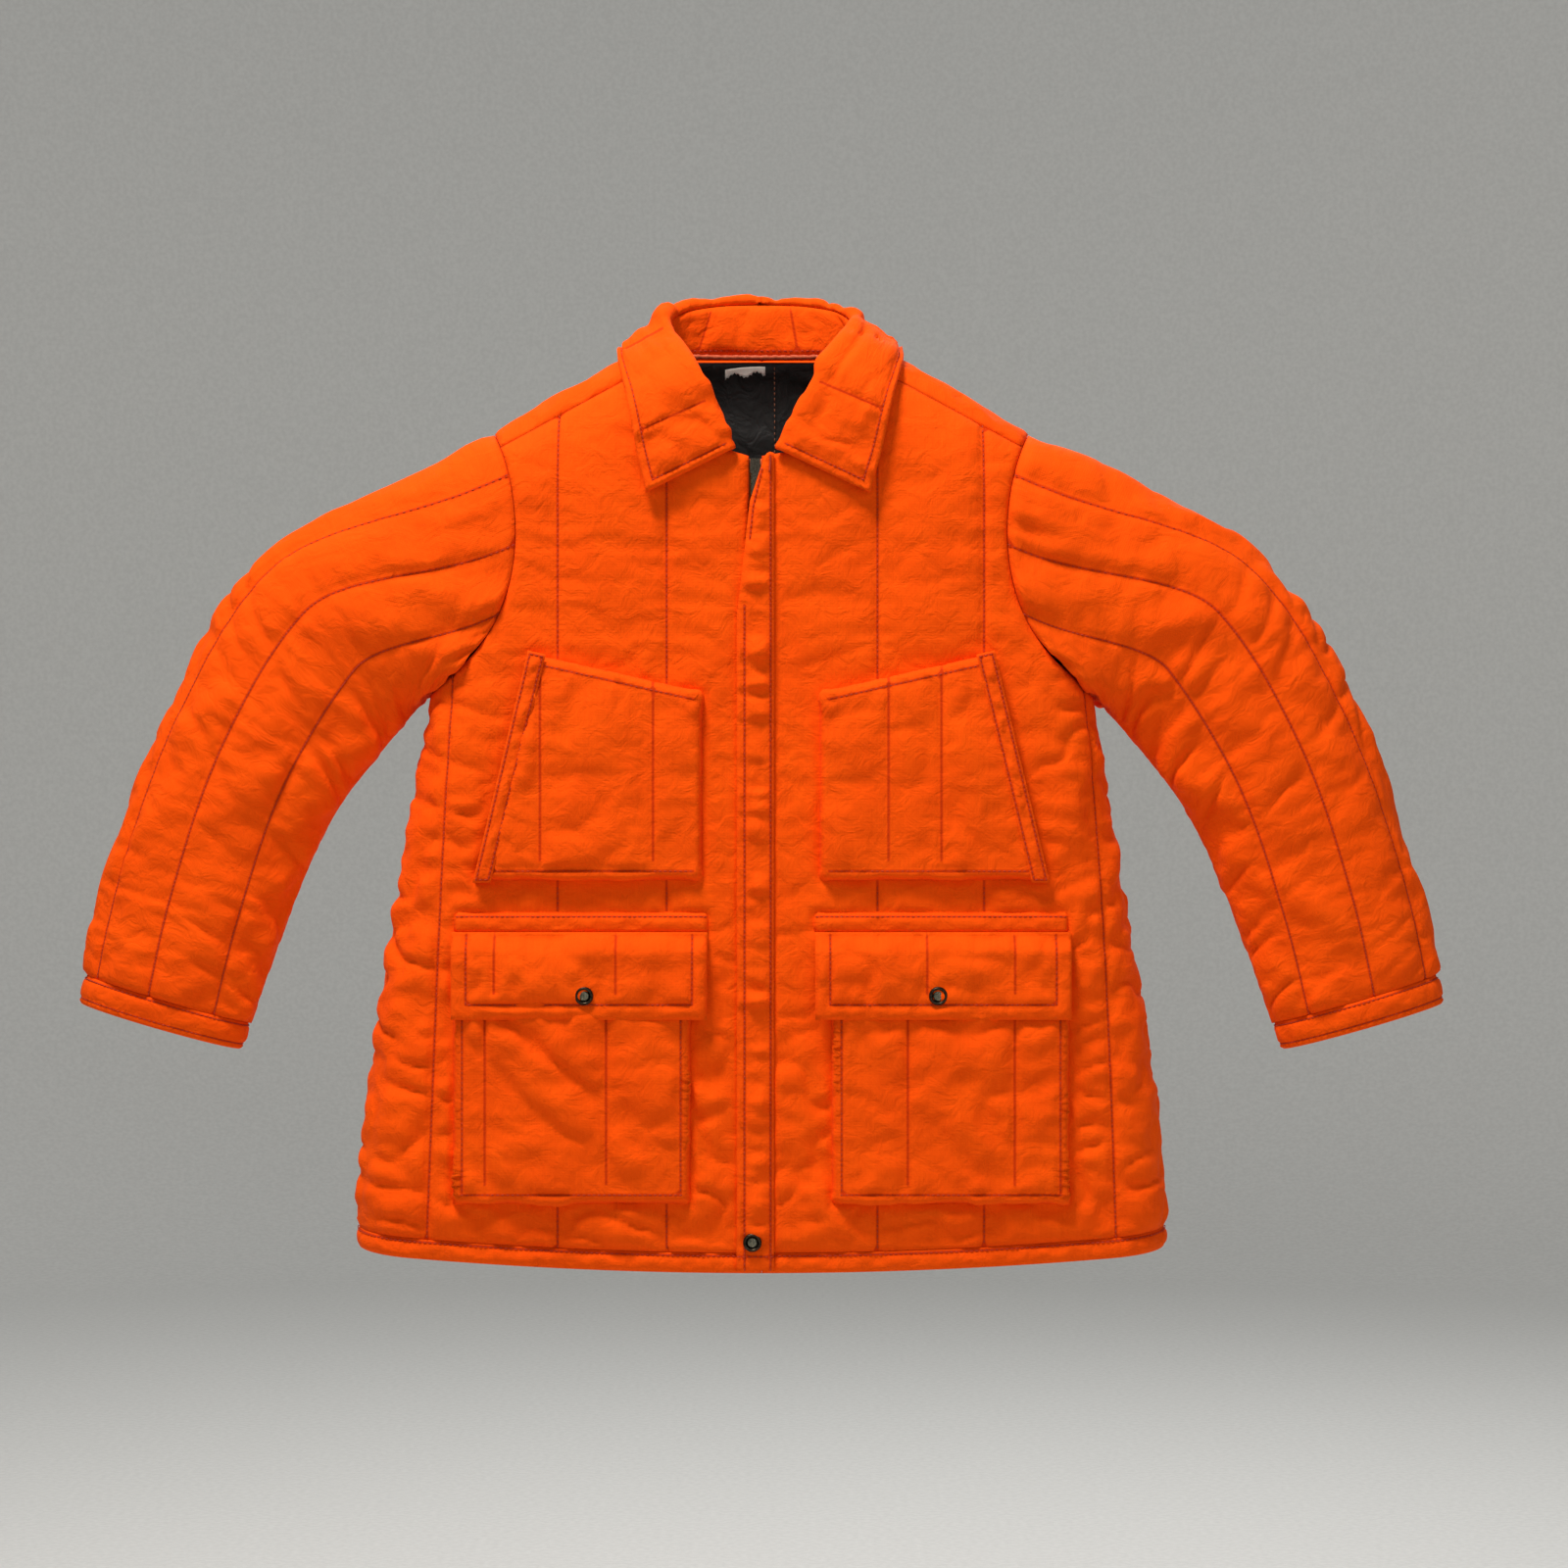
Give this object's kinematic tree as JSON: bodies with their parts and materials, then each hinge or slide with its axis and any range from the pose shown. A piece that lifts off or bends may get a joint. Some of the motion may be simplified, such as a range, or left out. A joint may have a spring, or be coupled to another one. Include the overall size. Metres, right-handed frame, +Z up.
{
  "type": "quilted hunting jacket",
  "caption": "Quilted blaze orange hunting jacket with turned-down collar, fly front over a zip, slanted chest pockets and flapped cargo pockets, hanging from its neck.",
  "frame": {"origin": "centre of the neck opening, level with the back neck seam, where a hanger holds the jacket", "axes": "+X the wearer's left, across the front; +Y towards the back; +Z up"},
  "size_m": [1.158, 0.1293, 0.8182],
  "materials": {
    "shell": "matte blaze orange cotton duck, quilted over wadding",
    "lining": "slightly shiny charcoal lining taffeta",
    "piping": "matte faded orange binding",
    "label": "blank woven label",
    "snap_metal": "antique gunmetal plating",
    "zip_metal": "worn satin",
    "zip_tape": "woven tape with metal teeth"
  },
  "bodies": {
    "torso": {"back_panel": "shell", "back_yoke": "shell", "front_panel_left": "shell", "front_panel_right": "shell", "lining_back": "lining", "lining_yoke": "lining", "lining_front_left": "lining", "lining_front_right": "lining", "hem_back": "shell", "hem_front_left": "shell", "hem_front_right": "shell", "neck_label": "label", "collar_stand": "shell", "collar_fall": "shell", "neck_piping": "piping", "placket_snap_stud": "snap_metal", "placket_snap_post": "snap_metal", "zip_tape_left": "zip_tape", "zip_tape_right": "zip_tape", "zip_box": "zip_metal", "zip_pin": "zip_metal", "chest_pocket_left": "shell", "chest_pocket_right": "shell", "chest_pocket_facing_left": "shell", "chest_pocket_facing_right": "shell", "cargo_pocket_left": "shell", "cargo_pocket_right": "shell", "flap_band_left": "shell", "flap_band_right": "shell", "flap_snap_left_stud": "snap_metal", "flap_snap_right_stud": "snap_metal", "flap_snap_left_post": "snap_metal", "flap_snap_right_post": "snap_metal"},
    "placket": {"placket": "shell", "placket_snap_cap": "snap_metal", "placket_snap_socket": "snap_metal"},
    "flap_left": {"flap_left": "shell", "flap_snap_left_cap": "snap_metal", "flap_snap_left_socket": "snap_metal"},
    "collar_left": {"collar_leaf_left": "shell"},
    "sleeve_left": {"sleeve_left": "shell", "sleeve_lining_left": "lining", "cuff_left": "shell"},
    "flap_right": {"flap_right": "shell", "flap_snap_right_cap": "snap_metal", "flap_snap_right_socket": "snap_metal"},
    "collar_right": {"collar_leaf_right": "shell"},
    "sleeve_right": {"sleeve_right": "shell", "sleeve_lining_right": "lining", "cuff_right": "shell"},
    "slider": {"zip_slider": "zip_metal"},
    "pull": {"zip_pull": "zip_metal"}
  },
  "joints": [
    {"name": "placket_open", "type": "hinge", "parent": "torso", "child": "placket", "pos_m": [0.0109, -0.0554, -0.43], "axis": [0, 0, 1], "range_deg": [0, 150]},
    {"name": "zip_slide", "type": "slide", "parent": "torso", "child": "slider", "axis": [0, 0, -1], "range_m": [0, 0.59]},
    {"name": "zip_pull_swing", "type": "hinge", "parent": "slider", "child": "pull", "pos_m": [-0.005, -0.0487, -0.098], "axis": [-1, 0, 0], "range_deg": [0, 150]},
    {"name": "flap_left_lift", "type": "hinge", "parent": "torso", "child": "flap_left", "pos_m": [0.151, -0.0562, -0.4872], "axis": [-1, 0, 0], "range_deg": [0, 144]},
    {"name": "flap_right_lift", "type": "hinge", "parent": "torso", "child": "flap_right", "pos_m": [-0.151, -0.0562, -0.4872], "axis": [-1, 0, 0], "range_deg": [0, 144]},
    {"name": "collar_left_turn", "type": "hinge", "parent": "torso", "child": "collar_left", "pos_m": [0.015, -0.0606, -0.086], "axis": [-0.4759, -0.0532, -0.8779], "range_deg": [0, 92]},
    {"name": "collar_right_turn", "type": "hinge", "parent": "torso", "child": "collar_right", "pos_m": [-0.025, -0.0606, -0.086], "axis": [-0.4157, 0.055, 0.9078], "range_deg": [0, 92]},
    {"name": "sleeve_left_raise", "type": "hinge", "parent": "torso", "child": "sleeve_left", "pos_m": [0.227, 0, -0.066], "axis": [0, -1, 0], "range_deg": [0, 45]},
    {"name": "sleeve_right_raise", "type": "hinge", "parent": "torso", "child": "sleeve_right", "pos_m": [-0.227, 0, -0.066], "axis": [0, 1, 0], "range_deg": [0, 45]}
  ]
}
